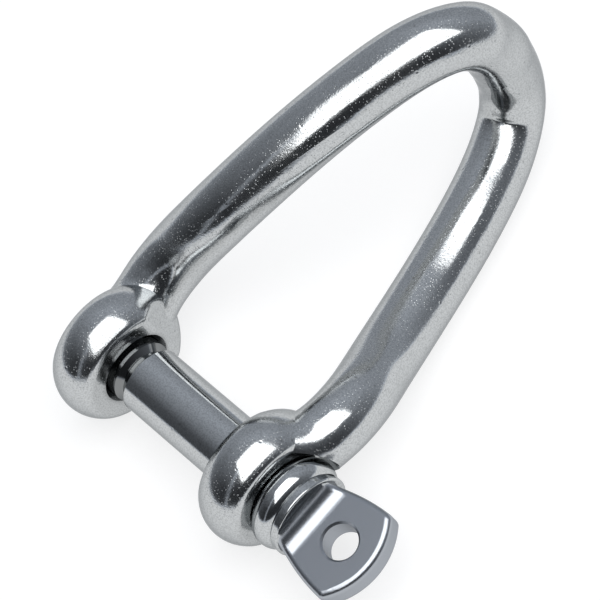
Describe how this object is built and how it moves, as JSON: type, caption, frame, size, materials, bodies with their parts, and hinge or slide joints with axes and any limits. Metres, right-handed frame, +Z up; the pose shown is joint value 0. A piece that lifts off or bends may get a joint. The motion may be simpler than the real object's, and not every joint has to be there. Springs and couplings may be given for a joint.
{
  "type": "twisted shackle",
  "caption": "Long twisted shackle with domed eyes and a screw pin that has a rounded collar and a flat key head with a hole.",
  "frame": {"origin": "on the pin axis, midway between the two eyes", "axes": "+X along the pin from the tapped eye to the key head; +Y towards the bow; +Z up, with the shackle lying at rest on a level surface"},
  "size_m": [0.0497, 0.066, 0.0309],
  "materials": {
    "body_steel": "polished cast stainless steel with fine pitting",
    "pin_steel": "polished turned stainless steel, key faces satin"
  },
  "bodies": {
    "shackle": {"shackle_body": "body_steel"},
    "pin": {"screw_pin": "pin_steel"}
  },
  "joints": [
    {"name": "pin_withdraw", "type": "slide", "parent": "shackle", "child": "pin", "axis": [1, 0, 0], "range_m": [0, 0.045]}
  ]
}
